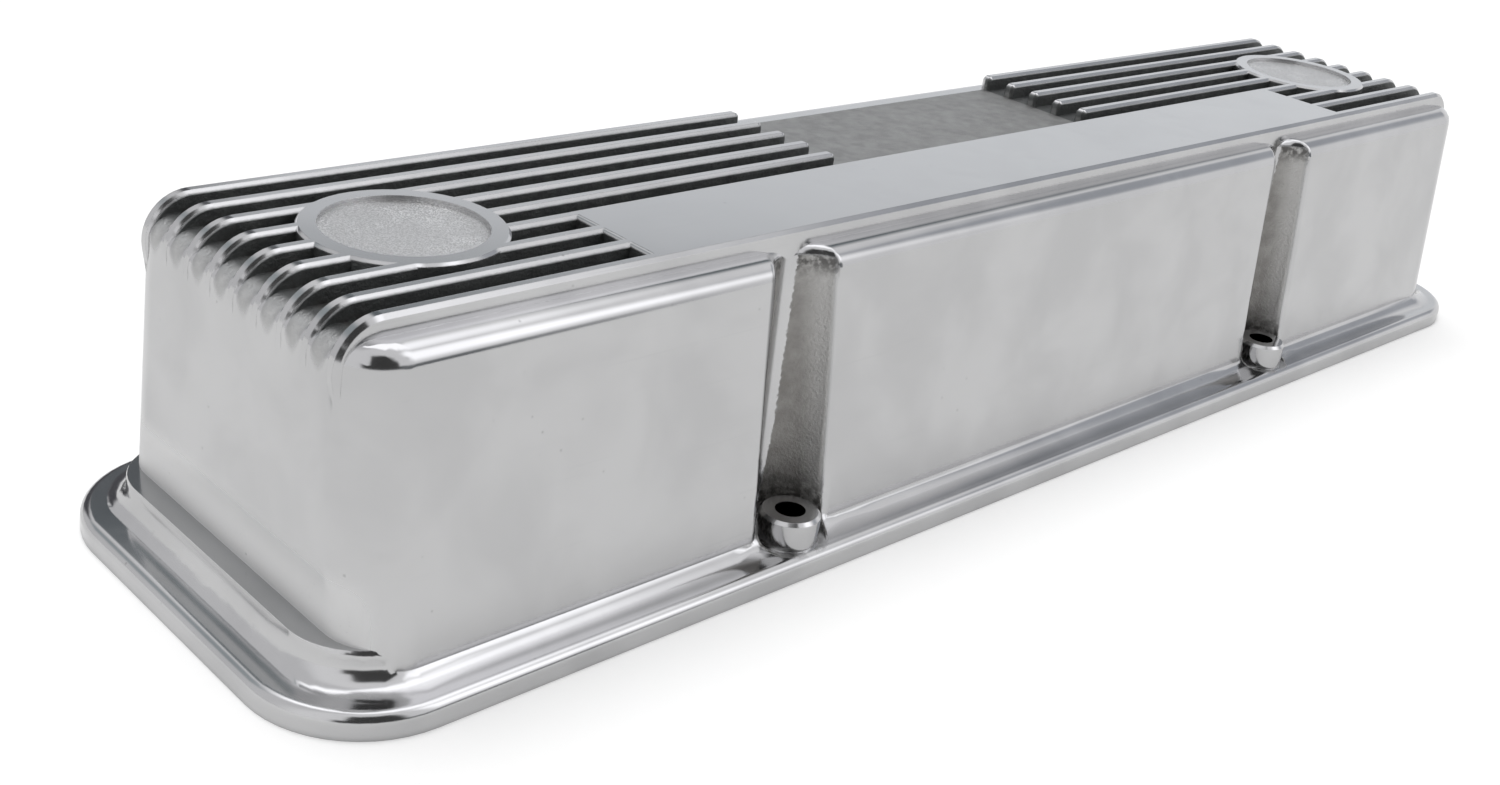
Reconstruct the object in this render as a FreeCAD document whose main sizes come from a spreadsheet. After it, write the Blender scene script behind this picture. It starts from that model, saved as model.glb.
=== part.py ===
"""Finned engine valve cover: one hollow aluminium casting with a flat gasket flange.

X runs along the cover, Y across it and Z up. The origin is on the gasket face, in the middle of
the flange. The plate on top lies on the -Y side, and the bare recess on the +Y side.
"""
import FreeCAD, Part
import math
import os
import Sketcher
from FreeCAD import Placement, Rotation, Vector

# Driving dimensions in mm: alias, value, what it measures
DIMENSIONS = [
    ("flange_length", 476.0, "flange over its two ends"),
    ("flange_width", 120.2, "flange over its two sides"),
    ("flange_corner", 26.8, "plan radius of the flange corners"),
    ("flange_thickness", 5.8, "height of the flat lip"),
    ("lip_round", 2.4, "round on the upper edge of the lip"),
    ("end_ledge", 14.5, "flange edge to the foot of an end wall"),
    ("side_ledge", 8.5, "flange edge to the foot of a side panel"),
    ("wall_corner", 13.0, "plan radius where side and end walls meet"),
    ("end_lean", 0.7, "how far an end wall leans in over its height"),
    ("side_lean", 7.1, "how far a side panel leans in over its height"),
    ("deck_height", 75.0, "gasket face to groove floors and panel shelves"),
    ("shelf_round", 5.2, "round from the deck down into the walls"),
    ("fin_height", 4.3, "deck to the crests of the fins"),
    ("shell", 4.0, "wall thickness"),
    ("roof_bevel", 3.0, "bevel along the roof of the hollow"),
    ("cove_rise", 7.7, "lip to the ledge on top of the cove"),
    ("cove_corner", 20.5, "plan radius of the cove's corners at its foot"),
    ("ledge_corner", 17.0, "plan radius of the ledge's corners"),
    ("ledge_inset", 9.7, "flange edge to the ledge below an end wall"),
    ("cove_end_run", 2.9, "how far the cove flares out below that ledge"),
    ("cove_side_run", 5.4, "how far the cove flares out at a side"),
    ("cove_side_rise", 3.0, "height over which it does so"),
    ("cove_overlap", 0.15, "how far the cove runs into the side panels"),
    ("bolt_spacing_long", 213.0, "bolt holes along the cover"),
    ("bolt_spacing_wide", 100.2, "bolt holes across the cover"),
    ("bolt_hole", 7.2, "bolt hole diameter"),
    ("boss_diameter", 15.0, "bolt boss diameter"),
    ("boss_height", 13.3, "gasket face to the boss seat"),
    ("boss_bevel", 0.8, "bevel on the boss rim"),
    ("scoop_radius", 10.5, "wrench scoop beside each bolt"),
    ("panel_edge_round", 2.4, "round on the panel edges beside a scoop"),
    ("fin_pitch", 9.11, "crest to crest"),
    ("fin_thickness", 3.5, "fin, across its crest"),
    ("fin_bevel", 0.9, "bevel on the long edges of a fin"),
    ("fin_sweep", 10.5, "radius of a fin's end down over the end wall"),
    ("fin_proud", 0.2, "how far a fin's end stands out of the end wall"),
    ("fin_tail", 8.0, "length of a fin's end below its sweep"),
    ("fin_tail_sink", 0.9, "how far that end turns back into the wall"),
    ("recess_length", 108.0, "bare recess between the interrupted fins"),
    ("fin_break_round", 1.6, "round where an interrupted fin stops"),
    ("plate_length", 292.6, "flat plate along the near side"),
    ("plate_round", 1.0, "round on the plate's edges"),
    ("pad_spacing", 366.9, "round pads, centre to centre"),
    ("pad_radius", 22.2, "round pad"),
    ("pad_bevel", 0.6, "bevel on the pad's rim"),
    ("pad_face_radius", 17.9, "sunk face of a pad"),
    ("pad_face_depth", 1.3, "depth of the sunk face"),
]
ALIASES = {alias for alias, _, _ in DIMENSIONS}
FINS = 9
BROKEN_FINS = 5
# Shares of the cove's rise at which it has a section
COVE_LEVELS = (0.0, 0.065, 0.17, 0.39, 0.68, 1.0)
# How fast the cove turns upright below the end walls and at the sides: 1 is a plain slope
END_TURN = 2
SIDE_TURN = 2.2
# How many times deeper still the cove's top lies in the side panels than its foot
TOP_OVERLAP = 8
# How deep a raised form reaches into what carries it, and a cutting form past what it cuts
ROOT = "1"

doc = FreeCAD.newDocument("valve_cover")
sheet = doc.addObject("Spreadsheet::Sheet", "Sizes")
for row, (alias, value, meaning) in enumerate(DIMENSIONS, start=1):
    sheet.set("A%d" % row, meaning)
    sheet.set("B%d" % row, str(value))
    sheet.setAlias("B%d" % row, alias)
doc.recompute()


def size(alias):
    """A driving dimension as a number."""
    return float(sheet.get(alias))


def total(expression):
    """The value of sizes with plus or minus signs between them."""
    value = 0.0
    sign = 1
    for word in expression.split():
        if word in "+-":
            sign = 1 if word == "+" else -1
        else:
            value += sign * size(word)
    return value


def linked(expression):
    """The expression with each alias in it pointed at the sheet."""
    words = []
    word = ""
    for letter in expression + " ":
        if letter.isalnum() or letter == "_":
            word += letter
            continue
        words.append("Sizes." + word if word in ALIASES else word)
        words.append(letter)
        word = ""
    return "".join(words).strip()


def tie(target, **expressions):
    """Ties properties of an object to the sheet."""
    for prop, expression in expressions.items():
        target.setExpression(prop.replace("__", "."), linked(expression))


def measure(sketch, label, constraint, expression):
    """Adds a named dimension to a sketch and ties it to the sheet."""
    index = sketch.addConstraint(constraint)
    sketch.renameConstraint(index, label)
    sketch.setExpression("Constraints." + label, linked(expression))


def arc(x, y, radius, start):
    """A quarter circle, from a start angle in degrees."""
    circle = Part.Circle(Vector(x, y, 0), Vector(0, 0, 1), radius)
    return Part.ArcOfCircle(circle, math.radians(start), math.radians(start + 90))


def segment(x1, y1, x2, y2):
    return Part.LineSegment(Vector(x1, y1, 0), Vector(x2, y2, 0))


def rounded_rectangle(name, half_length, half_width, corner, level="0"):
    """A level sketch of a rectangle with round corners, centred on the origin."""
    sketch = doc.addObject("Sketcher::SketchObject", name)
    x, y, r = 230.0, 50.0, 15.0
    sides = [
        segment(r - x, -y, x - r, -y),
        segment(x, r - y, x, y - r),
        segment(x - r, y, r - x, y),
        segment(-x, y - r, -x, r - y),
    ]
    corners = [
        arc(x - r, r - y, r, -90),
        arc(x - r, y - r, r, 0),
        arc(r - x, y - r, r, 90),
        arc(r - x, r - y, r, 180),
    ]
    sketch.addGeometry(sides + corners, False)
    for side in range(4):
        sketch.addConstraint(Sketcher.Constraint("Tangent", side, 2, side + 4, 1))
        sketch.addConstraint(Sketcher.Constraint("Tangent", side + 4, 2, (side + 1) % 4, 1))
        direction = "Horizontal" if side % 2 == 0 else "Vertical"
        sketch.addConstraint(Sketcher.Constraint(direction, side))
    for corner_arc in (4, 5, 6):
        sketch.addConstraint(Sketcher.Constraint("Equal", corner_arc, corner_arc + 1))
    sketch.addConstraint(Sketcher.Constraint("Symmetric", 4, 3, 6, 3, -1, 1))
    measure(sketch, "half_length", Sketcher.Constraint("DistanceX", -1, 1, 1, 1, x), half_length)
    measure(sketch, "half_width", Sketcher.Constraint("DistanceY", -1, 1, 2, 1, y), half_width)
    measure(sketch, "corner", Sketcher.Constraint("Radius", 4, r), corner)
    tie(sketch, Placement__Base__z=level)
    return sketch


def leaning_outline(name, half_foot, half_top, foot_height, top_height, turn):
    """An upright sketch, turned into place, with a level foot and leaning sides."""
    sketch = doc.addObject("Sketcher::SketchObject", name)
    sketch.Placement = Placement(Vector(0, 0, 0), turn)
    foot, top, low, high = 60.0, 50.0, 1.0, 75.0
    sketch.addGeometry([
        segment(-foot, low, foot, low),
        segment(foot, low, top, high),
        segment(top, high, -top, high),
        segment(-top, high, -foot, low),
    ], False)
    for side in range(4):
        sketch.addConstraint(Sketcher.Constraint("Coincident", side, 2, (side + 1) % 4, 1))
    sketch.addConstraint(Sketcher.Constraint("Symmetric", 0, 1, 0, 2, -2))
    sketch.addConstraint(Sketcher.Constraint("Symmetric", 2, 1, 2, 2, -2))
    measure(sketch, "half_foot", Sketcher.Constraint("DistanceX", -1, 1, 0, 2, foot), half_foot)
    measure(sketch, "half_top", Sketcher.Constraint("DistanceX", -1, 1, 2, 1, top), half_top)
    measure(sketch, "foot_height", Sketcher.Constraint("DistanceY", -1, 1, 0, 2, low), foot_height)
    measure(sketch, "top_height", Sketcher.Constraint("DistanceY", -1, 1, 2, 1, high), top_height)
    return sketch


def leaning_block(name, inset, foot_height, top_height, corner):
    """A box with walls that lean as the outer ones do, at an inset from them, with round corners."""
    half_length = "flange_length / 2 - end_ledge - " + inset
    half_width = "flange_width / 2 - side_ledge - " + inset
    side_view = leaning_outline(name + "_side_view", half_length, half_length + " - end_lean", foot_height,
                                top_height, Rotation(Vector(1, 0, 0), 90))
    end_view = leaning_outline(name + "_end_view", half_width, half_width + " - side_lean", foot_height,
                               top_height, Rotation(Vector(1, 1, 1), 120))
    block = doc.addObject("Part::MultiCommon", name + "_block")
    block.Shapes = [
        extrude(name + "_across", side_view, Vector(0, 1, 0), "flange_width", True),
        extrude(name + "_along", end_view, Vector(1, 0, 0), "flange_length", True),
    ]
    return rounded(name, block, corner, lambda edge: edge.BoundBox.ZLength > 1)


def fin_outline(name, broken):
    """The side view of a fin in the XZ plane: whole, or only the part beyond the recess."""
    sketch = doc.addObject("Sketcher::SketchObject", name)
    sketch.Placement = Placement(Vector(0, 0, 0), Rotation(Vector(1, 0, 0), 90))
    foot, top, end, sweep = 60.0, 79.0, 223.0, 10.0
    inner, turn = (54.0, 2.0) if broken else (-end, sweep)
    sketch.addGeometry([
        segment(inner, foot, end, foot),
        segment(end, foot, end, top - sweep),
        arc(end - sweep, top - sweep, sweep, 0),
        segment(end - sweep, top, inner + turn, top),
        arc(inner + turn, top - turn, turn, 90),
        segment(inner, top - turn, inner, foot),
    ], False)
    sketch.addConstraint(Sketcher.Constraint("Coincident", 0, 2, 1, 1))
    sketch.addConstraint(Sketcher.Constraint("Coincident", 5, 2, 0, 1))
    for first in (1, 2, 3, 4):
        sketch.addConstraint(Sketcher.Constraint("Tangent", first, 2, first + 1, 1))
    foot_level = "deck_height + fin_height - fin_sweep - fin_tail"
    sweep_centre = "flange_length / 2 - end_ledge - end_lean + fin_proud - fin_sweep"
    if broken:
        sketch.addConstraint(Sketcher.Constraint("Horizontal", 0))
        sketch.addConstraint(Sketcher.Constraint("Horizontal", 3))
        sketch.addConstraint(Sketcher.Constraint("Vertical", 5))
        measure(sketch, "inner", Sketcher.Constraint("DistanceX", -1, 1, 0, 1, inner), "recess_length / 2")
        measure(sketch, "turn", Sketcher.Constraint("Radius", 4, turn), "fin_break_round")
    else:
        sketch.addConstraint(Sketcher.Constraint("Symmetric", 0, 1, 0, 2, -2))
        sketch.addConstraint(Sketcher.Constraint("Symmetric", 2, 3, 4, 3, -2))
        sketch.addConstraint(Sketcher.Constraint("Equal", 2, 4))
    measure(sketch, "foot", Sketcher.Constraint("DistanceY", -1, 1, 0, 1, foot), foot_level)
    measure(sketch, "tail_sink", Sketcher.Constraint("DistanceX", 1, 1, 1, 2, 0.5), "fin_tail_sink")
    measure(sketch, "crest", Sketcher.Constraint("DistanceY", -1, 1, 3, 1, top), "deck_height + fin_height")
    measure(sketch, "sweep", Sketcher.Constraint("Radius", 2, sweep), "fin_sweep")
    measure(sketch, "centre", Sketcher.Constraint("DistanceX", -1, 1, 2, 3, end - sweep), sweep_centre)
    return sketch


def extrude(name, sketch, direction, length, symmetric=False):
    """A solid from a closed sketch."""
    solid = doc.addObject("Part::Extrusion", name)
    solid.Base = sketch
    solid.DirMode = "Custom"
    solid.Dir = direction
    solid.Solid = True
    solid.Symmetric = symmetric
    tie(solid, LengthFwd=length)
    return solid


def loft(name, sections):
    """A solid through level sections."""
    solid = doc.addObject("Part::Loft", name)
    solid.Sections = sections
    solid.Solid = True
    solid.Ruled = False
    return solid


def rounded(name, base, radius, wanted):
    """Rounds the edges of the base for which wanted(edge) holds."""
    doc.recompute()
    result = doc.addObject("Part::Fillet", name)
    result.Base = base
    edges = enumerate(base.Shape.Edges, start=1)
    value = total(radius)
    result.Edges = [(number, value, value) for number, edge in edges if wanted(edge)]
    return result


def bevelled(name, base, width, wanted):
    """Bevels the edges of the base for which wanted(edge) holds."""
    doc.recompute()
    result = doc.addObject("Part::Chamfer", name)
    result.Base = base
    edges = enumerate(base.Shape.Edges, start=1)
    value = total(width)
    result.Edges = [(number, value, value) for number, edge in edges if wanted(edge)]
    return result


def fuse(name, pieces):
    whole = doc.addObject("Part::MultiFuse", name)
    whole.Shapes = pieces
    whole.Refine = True
    return whole


def cut(name, base, tool):
    result = doc.addObject("Part::Cut", name)
    result.Base = base
    result.Tool = tool
    result.Refine = False
    return result


def cylinder(name, radius, height, x, y, z):
    post = doc.addObject("Part::Cylinder", name)
    tie(post, Radius=radius, Height=height)
    tie(post, Placement__Base__x=x, Placement__Base__y=y, Placement__Base__z=z)
    return post


def at_bolts(name, radius, height, z, half_wide="bolt_spacing_wide / 2"):
    """Four like cylinders on the bolt pattern, or beside it at another half spacing across the cover."""
    posts = []
    for number, (side_x, side_y) in enumerate(((-1, -1), (1, -1), (-1, 1), (1, 1)), start=1):
        x = "%d * bolt_spacing_long / 2" % side_x
        y = "%d * (%s)" % (side_y, half_wide)
        posts.append(cylinder("%s_%d" % (name, number), radius, height, x, y, z))
    return posts


def level_edge(height):
    """A test for edges that lie wholly at one height."""
    def wanted(edge):
        box = edge.BoundBox
        return abs(box.ZMin - height) < 0.01 and abs(box.ZMax - height) < 0.01
    return wanted


# Gasket flange with a round on its upper edge
lip_outline = rounded_rectangle("lip_outline", "flange_length / 2", "flange_width / 2", "flange_corner")
lip_plate = extrude("lip_plate", lip_outline, Vector(0, 0, 1), "flange_thickness")
lip = rounded("lip", lip_plate, "lip_round", level_edge(size("flange_thickness")))

# Walls up to the deck: leaning side panels and end walls, with the shelf round along the top
wall_block = leaning_block("wall_block", "0", "flange_thickness / 2", "deck_height", "wall_corner")
walls = rounded("walls", wall_block, "shelf_round", level_edge(size("deck_height")))

# Hollow cove round the walls: a flat ledge tops it at the ends, and at the sides it turns into the panels
cove_sections = []
for number, share in enumerate(COVE_LEVELS, start=1):
    rise = "%g * cove_rise" % share
    end_flare = "cove_end_run * pow(%g; %g)" % (1 - share, END_TURN)
    side_flare = "cove_side_run * pow(1 - min(1; %s / cove_side_rise); %g)" % (rise, SIDE_TURN)
    overlap = "cove_overlap * (1 + %g * pow(%g; 3))" % (TOP_OVERLAP, share)
    lean = "side_lean * (flange_thickness / 2 + %s) / (deck_height - flange_thickness / 2)" % rise
    cove_sections.append(rounded_rectangle(
        "cove_section_%d" % number,
        "flange_length / 2 - ledge_inset + " + end_flare,
        "flange_width / 2 - side_ledge - %s - %s + %s" % (overlap, lean, side_flare),
        "cove_corner + %g * (ledge_corner - cove_corner)" % share,
        "flange_thickness + " + rise))
cove = loft("cove", cove_sections)

# Wrench scoops: upright round channels that leave three panels along each side
SCOOP_LINE = "4 * fin_pitch + fin_thickness / 2 + scoop_radius"
scoops = fuse("scoops", at_bolts("scoop", "scoop_radius", "2 * deck_height", "-" + ROOT, SCOOP_LINE))
sharp_panels = cut("sharp_panels", walls, scoops)


def beside_scoop(edge):
    """A test for the edges where a scoop cuts a panel and its shelf."""
    middle = edge.valueAt((edge.FirstParameter + edge.LastParameter) / 2)
    for post in scoops.Shapes:
        axis = post.Placement.Base
        off_axis = math.hypot(middle.x - axis.x, middle.y - axis.y)
        if abs(off_axis - size("scoop_radius")) < 0.02 and edge.BoundBox.ZMax > 1:
            return True
    return False


panels = rounded("panels", sharp_panels, "panel_edge_round", beside_scoop)
notched_cove = cut("notched_cove", cove, scoops)

# Bolt bosses in the scoops
bosses = []
for post in at_bolts("boss_post", "boss_diameter / 2", "boss_height - " + ROOT, ROOT):
    name = post.Name.replace("post", "rim")
    bosses.append(bevelled(name, post, "boss_bevel", level_edge(size("boss_height"))))

# Fins and outer rails, all of one section
whole_outline = fin_outline("whole_fin_outline", False)
broken_outline = fin_outline("broken_fin_outline", True)


def long_edge(edge):
    """A test for the edges along a fin's two sides, above its foot."""
    box = edge.BoundBox
    return box.YLength < 0.01 and box.ZMax > FIN_FOOT + 0.01


FIN_FOOT = size("deck_height") + size("fin_height") - size("fin_sweep") - size("fin_tail")
CREST = size("deck_height") + size("fin_height")
fins = []
for number in range(FINS):
    offset = "%d * fin_pitch" % ((FINS - 1) // 2 - number)
    broken = number < BROKEN_FINS
    outline = broken_outline if broken else whole_outline
    blank = extrude("fin_blank_%d" % (number + 1), outline, Vector(0, 1, 0), "fin_thickness", True)
    tie(blank, Placement__Base__y=offset)
    fin = bevelled("fin_%d" % (number + 1), blank, "fin_bevel", long_edge)
    fins.append(fin)
    if broken:
        twin = doc.addObject("Part::Mirroring", "fin_%d_twin" % (number + 1))
        twin.Source = fin
        twin.Normal = Vector(1, 0, 0)
        fins.append(twin)

# Flat plate that joins the near fins, from the rail to the fin beside the middle one
PLATE_BACK = size("fin_pitch") - size("fin_thickness") / 2
plate_blank = doc.addObject("Part::Box", "plate_blank")
tie(plate_blank, Length="plate_length", Width="3 * fin_pitch + fin_thickness / 2",
    Height="fin_height + " + ROOT, Placement__Base__x="-plate_length / 2",
    Placement__Base__y="-4 * fin_pitch", Placement__Base__z="deck_height - " + ROOT)
plate = rounded("plate", plate_blank, "plate_round", lambda edge: (
    level_edge(CREST)(edge) and edge.BoundBox.YMax > -PLATE_BACK - 0.01))

# Round pads
pads = []
faces = []
for number, side in enumerate((-1, 1), start=1):
    centre = "%d * pad_spacing / 2" % side
    blank = cylinder("pad_blank_%d" % number, "pad_radius", "fin_height + " + ROOT, centre, "0",
                     "deck_height - " + ROOT)
    pads.append(bevelled("pad_%d" % number, blank, "pad_bevel", level_edge(CREST)))
    faces.append(cylinder("pad_face_%d" % number, "pad_face_radius", "2 * pad_face_depth", centre, "0",
                          "(deck_height + fin_height) - pad_face_depth"))

# The hollow: the walls' inside, less the columns behind the scoops
hollow_block = leaning_block("hollow_block", "shell", "-" + ROOT, "deck_height - shell",
                             "wall_corner - shell")
ROOF = size("deck_height") - size("shell")
hollow_room = bevelled("hollow_room", hollow_block, "roof_bevel", level_edge(ROOF))
columns = fuse("columns", at_bolts("column", "scoop_radius + shell", "2 * deck_height", "-" + ROOT,
                                   SCOOP_LINE))
hollow = cut("hollow", hollow_room, columns)

# The casting
solid_cover = fuse("solid_cover", [lip, panels, notched_cove] + bosses + fins + [plate] + pads)
hollowed = cut("hollowed", solid_cover, hollow)
drills = fuse("drills", at_bolts("drill", "bolt_hole / 2", "2 * boss_height", "-" + ROOT))
drilled = cut("drilled", hollowed, drills)
cover = cut("cover", drilled, fuse("pad_faces", faces))
cover.Label = "cover_casting"

doc.recompute()
os.makedirs("parts", exist_ok=True)
for thing in doc.Objects:
    if "Invalid" in thing.State or "Error" in thing.State:
        raise SystemExit("%s failed: %s" % (thing.Name, thing.State))
for part in (cover,):
    shape = part.Shape
    if shape.isNull() or not shape.isValid() or len(shape.Solids) != 1:
        raise SystemExit("%s is not one valid solid" % part.Label)
    shape.exportStep("parts/%s.step" % part.Label)
    print(part.Label, "volume", round(shape.Volume), "faces", len(shape.Faces))
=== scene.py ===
"""Looks of a finned engine valve cover: one aluminium casting, polished outside, as-cast inside.

Lengths are in metres, in the part's own frame: X along the cover, Y across it and Z up, with the
origin on the gasket face. The side with the flat plate is the near one, at -Y. The finishes are
placed in millimetres.
"""
import math

import bpy
from mathutils import Matrix, Vector


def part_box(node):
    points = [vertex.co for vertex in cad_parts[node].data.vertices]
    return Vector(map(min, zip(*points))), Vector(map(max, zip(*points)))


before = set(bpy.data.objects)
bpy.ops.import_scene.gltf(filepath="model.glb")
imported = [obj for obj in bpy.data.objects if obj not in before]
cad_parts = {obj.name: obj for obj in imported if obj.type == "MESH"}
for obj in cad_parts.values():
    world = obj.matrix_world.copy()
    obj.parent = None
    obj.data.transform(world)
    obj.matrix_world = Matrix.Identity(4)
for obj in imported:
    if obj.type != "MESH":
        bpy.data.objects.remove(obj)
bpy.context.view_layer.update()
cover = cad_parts["cover_casting"]
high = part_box("cover_casting")[1]
MM = 0.001

# Fins, in mm: their crests sweep down at both ends of the cover, and the outer two are its rails
CREST = high.z / MM
SWEEP_RADIUS = 10.5
SWEEP_END = high.x / MM - 15.0
FIN_PITCH = 9.11
FIN_HALF = 1.75
GROOVES_SIDE = 36.6
GROOVES_FOOT = 62.0
OUTLET_FOOT = 67.0
POLISH_DEPTH = 0.7

# Pads and recess
PAD_X = 183.45
PAD_RADIUS = 21.85
PAD_FACE_RADIUS = 17.9
RECESS_HALF = 54.0
RECESS_NEAR_Y = -7.5

# Walls: the side panels lean in as they rise, and a ledge runs along the foot of each end wall
PANEL_Y = 51.9
PANEL_LEAN = 0.0985
END_WALL_X = 220.0
LEDGE = 13.5

# Scoops, with a bolt boss at the foot of each
BOLT_X = 106.5
SCOOP_Y = 48.7
SCOOP_RADIUS = 10.5
SCOOP_FOOT = 6.0
SCOOP_TOP = 73.0
STRIP_HALF = 2.6
STRIP_TAPER = 1.2
BOSS_Y = 50.1
BOSS_RADIUS = 7.5
BOSS_HEIGHT = 13.3
HOLE_RADIUS = 3.6

# Hollow, as far as the middle of the metal round it
HOLLOW_Y = 50.0
HOLLOW_LEAN = 0.1
HOLLOW_X = 221.0
HOLLOW_TOP = 72.0
COLUMN_WALL = 4.0

# Colours of the finishes, and of the painted light and shade. A pair is a finish's darker and lighter tone.
POLISHED = ((0.515, 0.515, 0.520, 1), (0.575, 0.575, 0.579, 1))
# Painted shade: the as-cast tone made darker in the grooves between the fins
GROOVE_PAINTED_SHADE = ((0.110, 0.116, 0.115, 1), (0.190, 0.195, 0.192, 1))
OPEN_FLOOR = ((0.27, 0.27, 0.265, 1), (0.40, 0.40, 0.395, 1))
SCOOP = ((0.265, 0.256, 0.244, 1), (0.42, 0.41, 0.395, 1))
OUTLET = ((0.44, 0.44, 0.435, 1), (0.64, 0.64, 0.635, 1))
PAD_FACE = ((0.50, 0.50, 0.50, 1), (0.74, 0.74, 0.74, 1))
PAD_RUBBED = (0.92, 0.92, 0.92, 1)
# Painted light: the as-cast scoops are lighter near the panel faces
SCOOP_EDGE_LIGHT = (0.60, 0.595, 0.585, 1)
# Painted light: the end walls' feet are lighter, against the dark reflection of the ledge
WALL_FOOT_LIGHT = (0.85, 0.85, 0.85, 1)
# Painted dark reflection on the ledge
LEDGE_PAINTED_DARK = (0.26, 0.275, 0.28, 1)
LEDGE_DARKENING = 0.25
HAIRLINE = (0.40, 0.40, 0.41, 1)
HAIRLINE_STRENGTH = 0.12
PIT = (0.25, 0.25, 0.25, 1)
PIT_STRENGTH = 0.35
# Soot, with painted shade where these corners lie in shade
SOOT_AND_SHADE = (0.035, 0.031, 0.028, 1)
SHADE = (0.02, 0.02, 0.02, 1)

# Roughness: what the polishing wheel leaves, the haze of its clouds, and the other finishes
POLISH_ROUGHNESS = 0.11
CLOUD_ROUGHNESS = 0.05
ROUGHNESS = {"Wall Foot Light": 0.6, "Darkened Ledge": 0.25, "Cast": 0.55, "Outlet": 0.4, "Pad Face": 0.5}
SOOT_AND_SHADE_ROUGHNESS = 0.8

# How metallic the soot with its painted shade is, and the end walls' feet painted light
SOOT_AND_SHADE_METALLIC = 0.2
WALL_FOOT_LIGHT_METALLIC = 0.5

# Relief in mm: rounding of the edges, waves in the polished metal and as-cast grain
EDGE_RADIUS = 0.25
WAVE_DEPTH = 0.02
GRAIN_DEPTH = 0.25

# Features per mm of each pattern
GRAIN = 1.3
STIPPLE = 3.2
RAGGED = 0.8
SOOT_AND_SHADE_SPOTS = 0.5
RUBBED_SPOTS = 0.07
CLOUDS = 0.04
WAVES = 0.05
PITS = 0.16

# Angle past which an edge stays sharp, inside a surface and at its border
SHARP_INSIDE = math.radians(50)
SHARP_AT_BORDER = math.radians(30)
# Points this close in mm are joined, and facets this level with each other become one
JOIN_WITHIN = 0.002
LEVEL_WITHIN = math.radians(0.3)

# Camera at the photograph's viewing angle
PHOTO_WIDTH_PX = 1500
FOCAL_PX = 1712.13
SENSOR_MM = 36.0
CAMERA_PLACE = Vector((-0.374978, -0.283120, 0.206920))
CAMERA_AZIMUTH = math.radians(-46.916)
CAMERA_ELEVATION = math.radians(24.919)
CAMERA_ROLL = math.radians(7.934)

# Light: the lamp's strength, spread and tilt, and the world's own light
LAMP_STRENGTH = 1.7
LAMP_SPREAD = math.radians(40)
LAMP_TILT = (math.radians(-14), math.radians(2), 0)
WORLD_LIGHT = 0.38

# Floor: its colour, the colour and lift that the camera sees, and the lift that metal sees
FLOOR_HALF = 3.0
FLOOR = (0.88, 0.88, 0.88, 1)
FLOOR_SEEN = (0.86, 0.86, 0.86, 1)
FLOOR_LIFT_SEEN = 0.3
FLOOR_LIFT_MIRRORED = 0.14

# Studio that the metal mirrors. A screen has its colour and one or more patches. A patch has its turn
# to the left of the viewing direction and its height, each as start, end and softness in degrees.
ANY_HEIGHT = (-200, 200, 1)
ROOM = (0.96, 0.96, 0.975, 1)
PALE_SCREENS = {
    "left side": ((0.75, 0.75, 0.765, 1), ((40, 130, 15), ANY_HEIGHT)),
    "backdrop": ((0.84, 0.86, 0.89, 1), ((-30, 34, 10), (-200, 23, 3))),
    "lamps": ((1.9, 1.9, 1.95, 1), ((-104, -80, 8), (22, 62, 10)), ((-75, 70, 15), (55, 200, 7))),
    "right wall": ((0.48, 0.50, 0.54, 1), ((-72, -38, 6), (21, 40, 4))),
}
DARK_SCREENS = {
    "low on the right": ((0.20, 0.21, 0.22, 1), ((-200, -94, 6), (-4, 11, 3))),
    "left wall": ((0.40, 0.44, 0.46, 1), ((54, 82, 6), (28, 48, 5))),
    "back on the left": ((0.10, 0.10, 0.11, 1), ((20, 54, 4), (2, 29, 3))),
    "behind": ((0.07, 0.07, 0.07, 1), ((-200, -131, 5), (0, 62, 4)), ((171, 200, 3), (0, 22, 3))),
}
# Above the backdrop, a dark gap up to a lamp whose edge slopes down to the left
GAP_TURN = ((-24, 10), (28, 3))
GAP_BOTTOM = (22, 2)
GAP_TOP = 40.0
GAP_TOP_SLOPE = -0.27
GAP_TOP_SOFT = 3.0
GAP_COLOUR = (0.15, 0.175, 0.19, 1)


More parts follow.
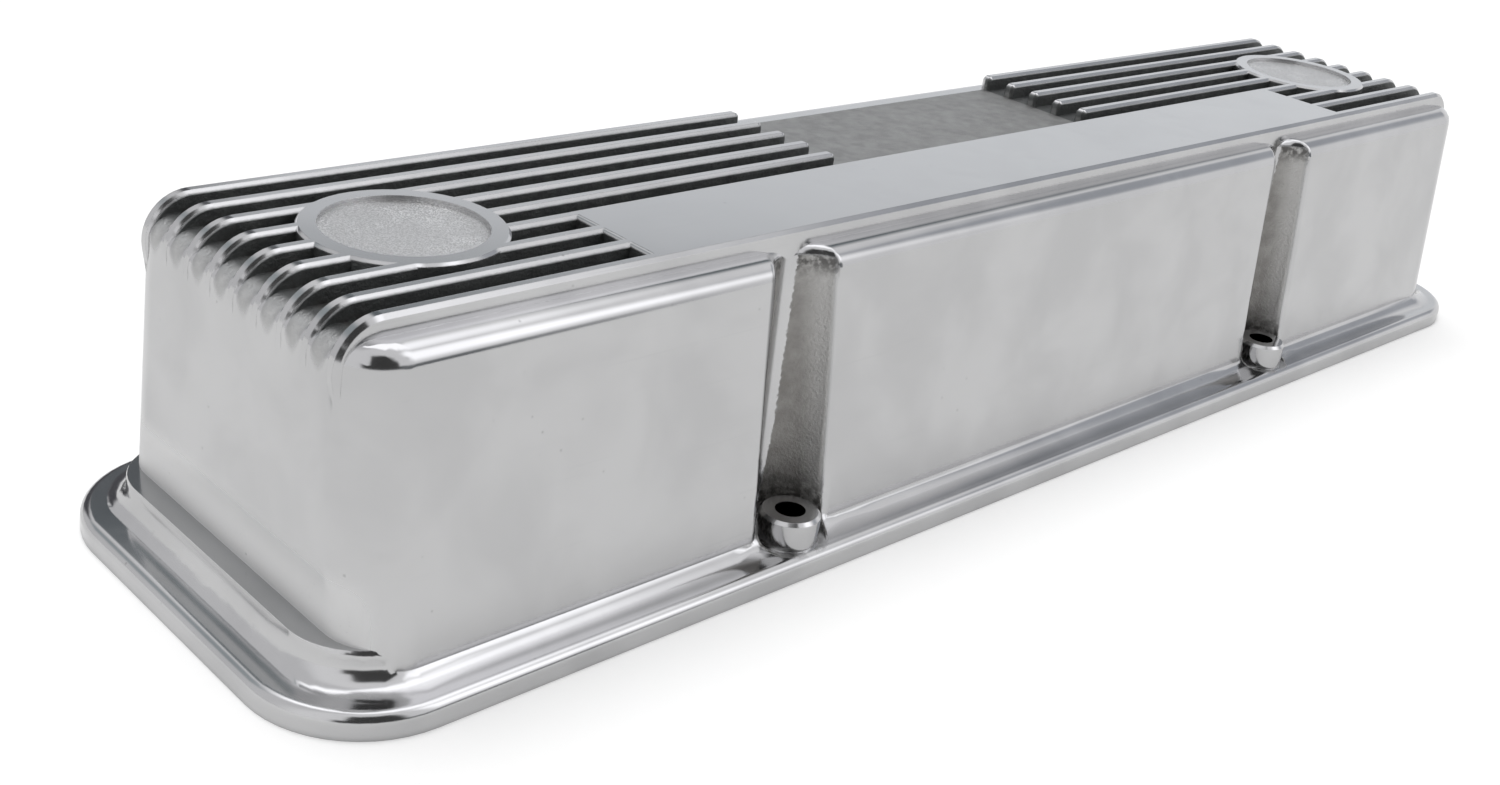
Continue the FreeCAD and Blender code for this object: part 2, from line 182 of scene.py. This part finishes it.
class Wiring:
    """Short calls for building one node tree."""

    def __init__(self, tree):
        self.tree = tree

    def add(self, kind, **settings):
        node = self.tree.nodes.new(kind)
        for name, value in settings.items():
            setattr(node, name, value)
        return node

    def plug(self, socket, value):
        """Links another node's output to a socket, or sets the socket to a plain value."""
        if isinstance(value, bpy.types.NodeSocket):
            self.tree.links.new(value, socket)
        else:
            socket.default_value = value

    def calc(self, operation, *values, clamp=False):
        node = self.add("ShaderNodeMath", operation=operation, use_clamp=clamp)
        for socket, value in zip(node.inputs, values):
            self.plug(socket, value)
        return node.outputs[0]

    def split(self, vector):
        node = self.add("ShaderNodeSeparateXYZ")
        self.plug(node.inputs[0], vector)
        return node.outputs

    def ramp(self, value, start, end, first, last):
        """Goes smoothly from the first value at start to the last at end."""
        node = self.add("ShaderNodeMapRange", interpolation_type="SMOOTHSTEP")
        for name, setting in (("Value", value), ("From Min", start), ("From Max", end),
                              ("To Min", first), ("To Max", last)):
            self.plug(node.inputs[name], setting)
        return node.outputs[0]

    def above(self, value, limit, soft):
        """1 above a limit and 0 below it, with a soft change."""
        return self.ramp(value, limit - soft, limit + soft, 0.0, 1.0)

    def below(self, value, limit, soft):
        """1 below a limit and 0 above it, with a soft change."""
        return self.ramp(value, limit - soft, limit + soft, 1.0, 0.0)

    def between(self, value, start, end, soft):
        """1 inside a stretch, with soft ends."""
        return self.calc("MULTIPLY", self.above(value, start, soft), self.below(value, end, soft))

    def all_of(self, *masks):
        result = masks[0]
        for mask in masks[1:]:
            result = self.calc("MULTIPLY", result, mask)
        return result

    def any_of(self, *masks):
        result = masks[0]
        for mask in masks[1:]:
            result = self.calc("MAXIMUM", result, mask)
        return result

    def less(self, mask, other):
        """One mask without the other."""
        return self.calc("MULTIPLY", mask, self.calc("SUBTRACT", 1.0, other, clamp=True))

    def scaled(self, value, factor):
        return self.calc("MULTIPLY", value, factor)

    def mix(self, kind, first_input, output, values):
        node = self.add("ShaderNodeMix", data_type=kind)
        for place, value in zip((0, first_input, first_input + 1), values):
            self.plug(node.inputs[place], value)
        return node.outputs[output]

    def blend(self, factor, first, second):
        """Mixes two numbers."""
        return self.mix("FLOAT", 2, 0, (factor, first, second))

    def tint(self, factor, first, second):
        """Mixes two colours."""
        return self.mix("RGBA", 6, 2, (factor, first, second))

    def lean(self, factor, first, second):
        """Mixes two normals."""
        node = self.add("ShaderNodeVectorMath", operation="NORMALIZE")
        self.plug(node.inputs[0], self.mix("VECTOR", 4, 1, (factor, first, second)))
        return node.outputs[0]

    def noise(self, point, scale, detail=2.0, roughness=0.5, distortion=0.0):
        """Noise from 0 to 1 whose features are about 1 / scale mm across."""
        node = self.add("ShaderNodeTexNoise")
        for name, value in (("Vector", point), ("Scale", scale), ("Detail", detail),
                            ("Roughness", roughness), ("Distortion", distortion)):
            self.plug(node.inputs[name], value)
        return node.outputs["Fac"]

    def stretched(self, point, factors):
        node = self.add("ShaderNodeVectorMath", operation="MULTIPLY")
        self.plug(node.inputs[0], point)
        node.inputs[1].default_value = factors
        return node.outputs[0]

    def distance(self, *offsets):
        """Length of a vector with the given two parts."""
        squares = [self.calc("MULTIPLY", offset, offset) for offset in offsets]
        return self.calc("SQRT", self.calc("ADD", *squares))


def group(name, inputs, outputs):
    """A shader node group with named inputs and outputs, and the wiring inside it."""
    tree = bpy.data.node_groups.new(name, "ShaderNodeTree")
    for label, kind in inputs:
        tree.interface.new_socket(name=label, in_out="INPUT", socket_type=kind)
    for label in outputs:
        tree.interface.new_socket(name=label, in_out="OUTPUT", socket_type="NodeSocketFloat")
    wiring = Wiring(tree)
    start = wiring.add("NodeGroupInput")
    end = wiring.add("NodeGroupOutput")
    return tree, wiring, start.outputs, end.inputs


def own_wiring(owner):
    """The wiring of a material's or a world's own node tree, emptied."""
    owner.use_nodes = True
    owner.node_tree.nodes.clear()
    return Wiring(owner.node_tree)


def place_group(w, tree, **values):
    node = w.add("ShaderNodeGroup", node_tree=tree)
    for name, value in values.items():
        w.plug(node.inputs[name], value)
    return node.outputs


class Spot:
    """A spot of the casting's surface, measured in mm from the features near it."""

    def __init__(self, w, point, facing, ragged):
        self.x, self.y, self.z = w.split(point)
        self.facing_x, self.facing_y, self.facing_z = w.split(facing)
        self.ragged = ragged
        self.along = w.calc("ABSOLUTE", self.x)
        self.across = w.calc("ABSOLUTE", self.y)

        # Depth below the crests, and distance from a pad's axis
        past_x = w.calc("MAXIMUM", w.calc("SUBTRACT", self.along, SWEEP_END - SWEEP_RADIUS), 0.0)
        past_z = w.calc("MAXIMUM", w.calc("SUBTRACT", self.z, CREST - SWEEP_RADIUS), 0.0)
        self.depth = w.calc("SUBTRACT", SWEEP_RADIUS, w.distance(past_x, past_z))
        self.off_pad = w.distance(w.calc("SUBTRACT", self.along, PAD_X), self.y)

        # Along the cover from a scoop, out from its axis and its boss's, and in from the panel's face
        self.beside = w.calc("SUBTRACT", self.along, BOLT_X)
        self.off_scoop = w.distance(self.beside, w.calc("SUBTRACT", self.across, SCOOP_Y))
        self.off_boss = w.distance(self.beside, w.calc("SUBTRACT", self.across, BOSS_Y))
        panel_face = w.calc("MULTIPLY_ADD", self.z, -PANEL_LEAN, PANEL_Y)
        self.behind_panel = w.calc("SUBTRACT", panel_face, self.across)


def groove_zones(w, spot):
    """Grooves between the fins, their open ends over the end walls, and the recess's floor."""
    ragged_depth = w.calc("ADD", spot.depth, w.scaled(spot.ragged, 0.12))
    inside_rails = w.below(spot.across, GROOVES_SIDE, 0.3)
    sunk = w.all_of(w.above(ragged_depth, POLISH_DEPTH, 0.3), inside_rails,
                    w.above(spot.z, GROOVES_FOOT, 2.0))
    groove = w.less(sunk, w.below(spot.off_pad, PAD_RADIUS, 0.15))
    recess = w.all_of(sunk, w.below(spot.along, RECESS_HALF, 0.5), w.above(spot.y, RECESS_NEAR_Y, 0.5),
                      w.above(spot.depth, 2.5, 0.5))

    # Half-moons between the fins' feet
    off_fin = w.calc("PINGPONG", spot.across, FIN_PITCH / 2)
    off_middle = w.calc("SUBTRACT", FIN_PITCH / 2, off_fin)
    moon = w.calc("MULTIPLY_ADD", w.calc("MULTIPLY", off_middle, off_middle), 0.4, OUTLET_FOOT)
    over_moon = w.calc("SUBTRACT", w.calc("ADD", spot.z, w.scaled(spot.ragged, 0.6)), moon)
    outlet = w.all_of(w.above(over_moon, 3.0, 3.0), w.above(spot.along, SWEEP_END - 3.5, 1.5), inside_rails,
                      w.above(off_fin, FIN_HALF + 0.25, 0.15))
    return groove, recess, outlet


def pad_zone(w, spot):
    """Round sunk faces of the pads."""
    return w.all_of(w.below(spot.off_pad, PAD_FACE_RADIUS, 0.15), w.above(spot.depth, 0.75, 0.25),
                    w.above(spot.z, GROOVES_FOOT, 2.0))


def scoop_zones(w, spot):
    """As-cast scoops, their outer edges painted lighter as painted light, and all of a scoop but its polished
    strip.
    """
    inside = w.all_of(w.below(spot.off_scoop, SCOOP_RADIUS + 0.55, 0.35), w.above(spot.z, SCOOP_FOOT, 1.0),
                      w.below(spot.z, SCOOP_TOP, 0.5))
    off_strip = w.calc("ADD", w.calc("ABSOLUTE", spot.beside), w.scaled(spot.ragged, 0.9))
    strip_half = w.calc("SUBTRACT", STRIP_HALF, w.scaled(w.below(spot.z, 21.0, 9.0), STRIP_TAPER))
    unpolished = w.all_of(inside, w.above(w.calc("SUBTRACT", off_strip, strip_half), 0.05, 0.3))
    on_boss = w.all_of(w.below(spot.off_boss, BOSS_RADIUS + 0.2, 0.1),
                       w.below(spot.z, BOSS_HEIGHT + 0.35, 0.15))
    off_panel = w.any_of(w.above(spot.behind_panel, 0.85, 0.65), w.below(spot.z, 16.0, 4.0))
    scoop = w.less(w.all_of(unpolished, off_panel), on_boss)
    # Painted light on the scoop's outer edges
    scoop_edge_light = w.below(spot.behind_panel, 5.25, 2.75)
    return scoop, scoop_edge_light, unpolished


def hollow_zone(w, spot):
    """The inside, with its columns, and the underside."""
    side = w.calc("SUBTRACT", HOLLOW_Y, w.scaled(spot.z, HOLLOW_LEAN))
    within = w.calc("SUBTRACT", side, spot.across)
    outward_x = w.calc("MULTIPLY", spot.facing_x, spot.x)
    outward_y = w.calc("MULTIPLY", spot.facing_y, spot.y)
    outward = w.calc("ADD", outward_x, outward_y)
    faces_down = w.all_of(w.below(spot.facing_z, -0.3, 0.1), w.above(spot.z, 0.75, 0.25))
    column = SCOOP_RADIUS + COLUMN_WALL
    on_column = w.between(spot.off_scoop, column - 0.6, column + 0.6, 0.3)
    faces_in = w.any_of(w.below(outward, -2.0, 1.0), faces_down, on_column)
    return w.all_of(w.above(within, 0.0, 0.3), w.below(spot.along, HOLLOW_X, 0.5),
                    w.below(spot.z, HOLLOW_TOP, 0.5), w.above(spot.off_scoop, column - 1.25, 0.25), faces_in)


def end_wall_zones(w, spot):
    """The foot of an end wall, matt and painted lighter as painted light, and the ledge below it, painted
    darker as painted dark reflection.
    """
    foot_painted_light = w.all_of(w.above(spot.along, END_WALL_X, 3.0), w.above(spot.z, LEDGE - 0.15, 0.15),
                    w.below(spot.z, LEDGE + 11.0, 5.0), w.below(spot.facing_z, 0.35, 0.15))
    darkened_ledge = w.all_of(w.above(spot.along, END_WALL_X + 0.5, 1.5),
                     w.between(spot.z, LEDGE - 0.3, LEDGE + 0.3, 0.1), w.above(spot.facing_z, 0.825, 0.125))
    return foot_painted_light, w.scaled(darkened_ledge, LEDGE_DARKENING)


def soot_and_shade_zone(w, spot, groove, unpolished):
    """Soot and painted shade round the bosses, at the feet and tops of the scoops, and between the fins'
    feet.
    """
    beside_boss = w.above(spot.off_boss, BOSS_RADIUS + 0.3, 0.2)
    boss_foot = w.all_of(beside_boss, w.below(spot.off_boss, BOSS_RADIUS + 1.9, 1.1),
                         w.below(spot.z, 11.0, 2.0), w.above(spot.z, 5.3, 0.3),
                         w.below(spot.across, SCOOP_Y + 3.0, 2.0))
    scoop_foot = w.all_of(unpolished, w.below(spot.z, 14.5, 5.5), beside_boss)
    scoop_top = w.all_of(unpolished, w.above(spot.z, SCOOP_TOP - 3.5, 2.5))
    fin_root = w.all_of(w.above(spot.depth, 3.3, 0.9), groove, w.above(spot.along, SWEEP_END - 14.5, 3.5))
    return w.any_of(boss_foot, scoop_foot, w.scaled(scoop_top, 0.7), w.scaled(fin_root, 0.8))


def shaded_zone(w, spot):
    """Bolt holes, and the sharp edge of each scoop on its -X side."""
    in_hole = w.below(spot.off_boss, HOLE_RADIUS + 0.1, 0.05)
    from_scoop = w.calc("MULTIPLY", spot.beside, w.calc("SIGN", spot.x))
    edge = w.all_of(w.below(from_scoop, -9.0, 0.4), w.below(spot.off_scoop, SCOOP_RADIUS + 1.5, 0.5),
                    w.above(spot.z, SCOOP_FOOT + 3.0, 1.0), w.below(spot.z, SCOOP_TOP - 0.75, 0.75))
    return w.any_of(in_hole, w.scaled(edge, 0.7))


def cover_zones():
    """Where each finish, and each patch of painted light and shade, of the cover lies, from a point in mm."""
    tree, w, given, out = group(
        "cover_zones",
        (("Point", "NodeSocketVector"), ("Facing", "NodeSocketVector"), ("Ragged", "NodeSocketFloat")),
        ("Cast", "Groove", "Recess", "Outlet", "Scoop", "Scoop Edge Light", "Hollow", "Pad Face", "Wall Foot Light",
         "Darkened Ledge", "Shaded", "Soot And Shade"))
    spot = Spot(w, given["Point"], given["Facing"], given["Ragged"])
    groove, recess, outlet = groove_zones(w, spot)
    scoop, scoop_edge_light, unpolished = scoop_zones(w, spot)
    hollow = hollow_zone(w, spot)
    wall_foot_light, darkened_ledge = end_wall_zones(w, spot)
    zones = {
        "Cast": w.any_of(groove, outlet, scoop, hollow), "Groove": groove, "Recess": recess,
        "Outlet": outlet, "Scoop": scoop, "Scoop Edge Light": scoop_edge_light, "Hollow": hollow,
        "Pad Face": pad_zone(w, spot), "Wall Foot Light": wall_foot_light, "Darkened Ledge": darkened_ledge,
        "Shaded": shaded_zone(w, spot), "Soot And Shade": soot_and_shade_zone(w, spot, groove, unpolished),
    }
    for name, mask in zones.items():
        w.plug(out[name], mask)
    return tree


def cast_skin():
    """Sand-cast grain: a height and an uneven tone."""
    tree, w, given, out = group(
        "cast_skin", (("Point", "NodeSocketVector"), ("Grain", "NodeSocketFloat")), ("Height", "Tone"))
    fine = w.noise(given["Point"], given["Grain"], 4.0, 0.6)
    coarse = w.noise(given["Point"], w.scaled(given["Grain"], 0.22))
    w.plug(out["Height"], w.calc("ADD", fine, w.scaled(coarse, 0.4)))
    speck = w.above(fine, 0.67, 0.05)
    w.plug(out["Tone"], w.calc("SUBTRACT", w.above(coarse, 0.5, 0.5), w.scaled(speck, 0.3)))
    return tree


def polish_wear():
    """What a polishing wheel leaves: clouds, hairlines and a few pits."""
    tree, w, given, out = group(
        "polish_wear", (("Point", "NodeSocketVector"),), ("Clouds", "Lines", "Pits", "Height"))
    clouds = w.noise(given["Point"], CLOUDS, 3.0, 0.5, 0.4)
    w.plug(out["Clouds"], w.above(clouds, 0.5, 0.2))
    along = w.noise(w.stretched(given["Point"], (0.02, 1.6, 1.6)), 1.0)
    upright = w.noise(w.stretched(given["Point"], (1.4, 1.4, 0.03)), 1.0)
    w.plug(out["Lines"], w.any_of(w.above(along, 0.70, 0.04), w.scaled(w.above(upright, 0.74, 0.04), 0.3)))
    pits = w.add("ShaderNodeTexVoronoi")
    w.plug(pits.inputs["Vector"], given["Point"])
    pits.inputs["Scale"].default_value = PITS
    pit = w.all_of(w.below(pits.outputs["Distance"], 0.0525, 0.0225), w.above(clouds, 0.56, 0.04))
    w.plug(out["Pits"], pit)
    waves = w.noise(given["Point"], WAVES, 1.0)
    w.plug(out["Height"], w.calc("SUBTRACT", waves, w.scaled(pit, 0.08)))
    return tree


def bumped(w, height, depth, normal):
    """The normal over a height whose 1 stands for a depth in mm."""
    node = w.add("ShaderNodeBump")
    node.inputs["Strength"].default_value = 1.0
    node.inputs["Distance"].default_value = depth * MM
    w.plug(node.inputs["Height"], height)
    w.plug(node.inputs["Normal"], normal)
    return node.outputs[0]


def cast_aluminium():
    """The casting's one material: polished metal, with as-cast skin where the zones say so."""
    material = bpy.data.materials.new("polished_cast_aluminium")
    w = own_wiring(material)
    place = w.add("ShaderNodeTexCoord").outputs
    point = w.stretched(place["Object"], (1 / MM, 1 / MM, 1 / MM))
    ragged = w.calc("MULTIPLY_ADD", w.noise(point, RAGGED, 3.0, 0.6), 2.0, -1.0)
    zones = place_group(w, cover_zones(), Point=point, Facing=place["Normal"], Ragged=ragged)
    skin = place_group(w, cast_skin(), Point=point, Grain=GRAIN)
    wear = place_group(w, polish_wear(), Point=point)

    polished = w.tint(wear["Clouds"], *POLISHED)
    # Painted light on the end walls' feet, and painted dark reflection on the ledges
    polished = w.tint(zones["Wall Foot Light"], polished, WALL_FOOT_LIGHT)
    polished = w.tint(zones["Darkened Ledge"], polished, LEDGE_PAINTED_DARK)
    polished = w.tint(w.scaled(wear["Lines"], HAIRLINE_STRENGTH), polished, HAIRLINE)
    polished = w.tint(w.scaled(wear["Pits"], PIT_STRENGTH), polished, PIT)

    open_floor = w.tint(skin["Tone"], *OPEN_FLOOR)
    # Painted shade: as-cast metal is darker in the grooves than on the open recess floor
    cast = w.tint(zones["Recess"], w.tint(skin["Tone"], *GROOVE_PAINTED_SHADE), open_floor)
    cast = w.tint(zones["Hollow"], cast, open_floor)
    # Painted light on the scoops' outer edges
    scoop = w.tint(zones["Scoop Edge Light"], w.tint(skin["Tone"], *SCOOP), SCOOP_EDGE_LIGHT)
    cast = w.tint(zones["Scoop"], cast, scoop)
    cast = w.tint(zones["Outlet"], cast, w.tint(skin["Tone"], *OUTLET))

    stipple = w.noise(point, STIPPLE, 2.0, 0.6)
    rubbed = w.all_of(w.above(w.noise(point, RUBBED_SPOTS), 0.575, 0.075), w.above(stipple, 0.55, 0.05))
    pad_face = w.tint(rubbed, w.tint(w.above(stipple, 0.5, 0.15), *PAD_FACE), PAD_RUBBED)

    # Soot, with painted shade in the corners at the bosses, scoops and fins' feet
    soot_and_shade = w.all_of(zones["Soot And Shade"], w.above(w.noise(point, SOOT_AND_SHADE_SPOTS, 3.0, 0.6), 0.475, 0.125))
    colour = w.tint(zones["Cast"], polished, cast)
    colour = w.tint(zones["Pad Face"], colour, pad_face)
    colour = w.tint(soot_and_shade, colour, SOOT_AND_SHADE)
    colour = w.tint(zones["Shaded"], colour, SHADE)

    roughness = w.calc("MULTIPLY_ADD", wear["Clouds"], CLOUD_ROUGHNESS, POLISH_ROUGHNESS)
    for zone, value in ROUGHNESS.items():
        roughness = w.blend(zones[zone], roughness, value)
    roughness = w.blend(soot_and_shade, roughness, SOOT_AND_SHADE_ROUGHNESS)
    metallic = w.blend(soot_and_shade, 1.0, SOOT_AND_SHADE_METALLIC)
    metallic = w.blend(zones["Wall Foot Light"], metallic, WALL_FOOT_LIGHT_METALLIC)

    soften = w.add("ShaderNodeBevel", samples=2)
    soften.inputs["Radius"].default_value = EDGE_RADIUS * MM
    smooth = bumped(w, wear["Height"], WAVE_DEPTH, soften.outputs[0])
    rough = bumped(w, w.blend(zones["Pad Face"], skin["Height"], stipple), GRAIN_DEPTH, smooth)
    grainy = w.any_of(zones["Cast"], w.scaled(zones["Pad Face"], 0.6))

    metal = w.add("ShaderNodeBsdfPrincipled")
    w.plug(metal.inputs["Base Color"], colour)
    w.plug(metal.inputs["Roughness"], roughness)
    w.plug(metal.inputs["Metallic"], metallic)
    w.plug(metal.inputs["Normal"], w.lean(grainy, smooth, rough))
    w.plug(w.add("ShaderNodeOutputMaterial").inputs["Surface"], metal.outputs[0])
    return material


def soften_shading(piece):
    """Joins the faces of the casting and shades them smooth up to its real edges."""
    tree = bpy.data.node_groups.new("smooth_shading", "GeometryNodeTree")
    tree.interface.new_socket(name="Geometry", in_out="INPUT", socket_type="NodeSocketGeometry")
    tree.interface.new_socket(name="Geometry", in_out="OUTPUT", socket_type="NodeSocketGeometry")
    w = Wiring(tree)
    start = w.add("NodeGroupInput")
    end = w.add("NodeGroupOutput")

    # Edges between two surfaces are open until the faces are joined
    open_edge = w.add("FunctionNodeCompare", data_type="INT", operation="EQUAL")
    w.plug(open_edge.inputs[2], w.add("GeometryNodeInputMeshEdgeNeighbors").outputs[0])
    open_edge.inputs[3].default_value = 1
    kept = w.add("GeometryNodeCaptureAttribute", domain="EDGE")
    kept.capture_items.new("BOOLEAN", "border")
    w.plug(kept.inputs[0], start.outputs[0])
    w.plug(kept.inputs[1], open_edge.outputs[0])
    joined = w.add("GeometryNodeMergeByDistance")
    joined.inputs["Distance"].default_value = JOIN_WITHIN * MM
    w.plug(joined.inputs["Geometry"], kept.outputs[0])
    plain = w.add("GeometryNodeSetMeshNormal", mode="SHARPNESS", domain="FACE")
    plain.inputs["Remove Custom"].default_value = True
    w.plug(plain.inputs["Mesh"], joined.outputs[0])

    angle = w.add("GeometryNodeInputMeshEdgeAngle").outputs["Unsigned Angle"]
    limit = w.add("GeometryNodeSwitch", input_type="FLOAT")
    w.plug(limit.inputs[0], kept.outputs[1])
    limit.inputs[1].default_value = SHARP_INSIDE
    limit.inputs[2].default_value = SHARP_AT_BORDER
    soft_edge = w.add("FunctionNodeCompare", data_type="FLOAT", operation="LESS_EQUAL")
    w.plug(soft_edge.inputs[0], angle)
    w.plug(soft_edge.inputs[1], limit.outputs[0])
    smooth = w.add("GeometryNodeSetShadeSmooth", domain="EDGE")
    w.plug(smooth.inputs["Geometry"], plain.outputs[0])
    w.plug(smooth.inputs["Shade Smooth"], soft_edge.outputs[0])
    w.plug(end.inputs[0], smooth.outputs[0])
    piece.modifiers.new("smooth_shading", "NODES").node_group = tree

    flat = piece.modifiers.new("one_face_per_flat", "DECIMATE")
    flat.decimate_type = "DISSOLVE"
    flat.angle_limit = LEVEL_WITHIN
    flat.delimit = {"SHARP"}
    weighted = piece.modifiers.new("flat_faces_first", "WEIGHTED_NORMAL")
    weighted.keep_sharp = True
    weighted.weight = 100


def studio_floor():
    """A plain pale floor. The camera sees it as white with the cover's shadow on it."""
    mesh = bpy.data.meshes.new("floor")
    corners = [(x * FLOOR_HALF, y * FLOOR_HALF, 0) for x, y in ((-1, -1), (1, -1), (1, 1), (-1, 1))]
    mesh.from_pydata(corners, [], [(0, 1, 2, 3)])
    floor = bpy.data.objects.new("floor", mesh)
    bpy.context.scene.collection.objects.link(floor)
    material = bpy.data.materials.new("pale_floor")
    w = own_wiring(material)
    path = w.add("ShaderNodeLightPath").outputs
    paint = w.add("ShaderNodeBsdfDiffuse")
    w.plug(paint.inputs["Color"], w.tint(path["Is Camera Ray"], FLOOR, FLOOR_SEEN))
    lift = w.add("ShaderNodeEmission")
    w.plug(lift.inputs["Strength"], w.calc("ADD", w.scaled(path["Is Camera Ray"], FLOOR_LIFT_SEEN),
                                           w.scaled(path["Is Glossy Ray"], FLOOR_LIFT_MIRRORED)))
    both = w.add("ShaderNodeAddShader")
    w.plug(both.inputs[0], paint.outputs[0])
    w.plug(both.inputs[1], lift.outputs[0])
    w.plug(w.add("ShaderNodeOutputMaterial").inputs["Surface"], both.outputs[0])
    mesh.materials.append(material)


def add_screens(w, turn, height, shown, screens):
    """Lays screens over what metal sees."""
    for colour, *patches in screens.values():
        masks = [w.all_of(w.between(turn, *turned), w.between(height, *raised)) for turned, raised in patches]
        shown = w.tint(w.any_of(*masks), shown, colour)
    return shown


def studio_world():
    """White for the camera. Metal sees a white studio with pale and dark screens."""
    world = bpy.data.worlds.new("studio")
    bpy.context.scene.world = world
    w = own_wiring(world)
    x, y, z = w.split(w.add("ShaderNodeTexCoord").outputs["Generated"])
    ahead_x, ahead_y = -math.sin(CAMERA_AZIMUTH), math.cos(CAMERA_AZIMUTH)
    forward = w.calc("ADD", w.scaled(x, ahead_x), w.scaled(y, ahead_y))
    left = w.calc("SUBTRACT", w.scaled(y, ahead_x), w.scaled(x, ahead_y))
    turn = w.calc("DEGREES", w.calc("ARCTAN2", left, forward))
    height = w.calc("DEGREES", w.calc("ARCSINE", z))

    gap_top = w.calc("MULTIPLY_ADD", turn, GAP_TOP_SLOPE, GAP_TOP)
    below_top = w.above(w.calc("SUBTRACT", gap_top, height), 0.0, GAP_TOP_SOFT)
    gap = w.all_of(w.above(height, *GAP_BOTTOM), below_top, w.above(turn, *GAP_TURN[0]),
                   w.below(turn, *GAP_TURN[1]))
    shown = add_screens(w, turn, height, ROOM, PALE_SCREENS)
    shown = w.tint(gap, shown, GAP_COLOUR)
    shown = add_screens(w, turn, height, shown, DARK_SCREENS)

    path = w.add("ShaderNodeLightPath").outputs
    metal_sees = w.any_of(path["Is Glossy Ray"], path["Is Transmission Ray"])
    sky = w.add("ShaderNodeBackground")
    w.plug(sky.inputs["Color"], w.tint(metal_sees, (1.0, 1.0, 1.0, 1), shown))
    w.plug(sky.inputs["Strength"], w.blend(w.any_of(path["Is Camera Ray"], metal_sees), WORLD_LIGHT, 1.0))
    w.plug(w.add("ShaderNodeOutputWorld").inputs["Surface"], sky.outputs[0])


def studio_lamp():
    """One large soft lamp overhead, a little behind the cover. Metal sees the screens instead of it."""
    lamp = bpy.data.lights.new("overhead_lamp", "SUN")
    lamp.energy = LAMP_STRENGTH
    lamp.angle = LAMP_SPREAD
    holder = bpy.data.objects.new("overhead_lamp", lamp)
    holder.rotation_euler = LAMP_TILT
    holder.visible_glossy = False
    bpy.context.scene.collection.objects.link(holder)


def photo_camera():
    """The camera, at the photograph's place, angle and lens."""
    a, e, r = CAMERA_AZIMUTH, CAMERA_ELEVATION, CAMERA_ROLL
    back = Vector((math.sin(a) * math.cos(e), -math.cos(a) * math.cos(e), math.sin(e)))
    level = (-back).cross(Vector((0, 0, 1))).normalized()
    upright = level.cross(-back)
    right = math.cos(r) * level + math.sin(r) * upright
    up = math.cos(r) * upright - math.sin(r) * level
    camera = bpy.data.objects.new("photo_camera", bpy.data.cameras.new("photo_camera"))
    camera.data.sensor_fit = "HORIZONTAL"
    camera.data.sensor_width = SENSOR_MM
    camera.data.lens = FOCAL_PX * SENSOR_MM / PHOTO_WIDTH_PX
    camera.data.clip_start = 0.01
    camera.data.clip_end = 50
    camera.matrix_world = Matrix.Translation(CAMERA_PLACE) @ Matrix((right, up, back)).transposed().to_4x4()
    bpy.context.scene.collection.objects.link(camera)
    bpy.context.scene.camera = camera


cover.material_slots[0].material = cast_aluminium()
soften_shading(cover)
studio_floor()
studio_world()
studio_lamp()
photo_camera()
bpy.context.scene.view_settings.view_transform = "Standard"
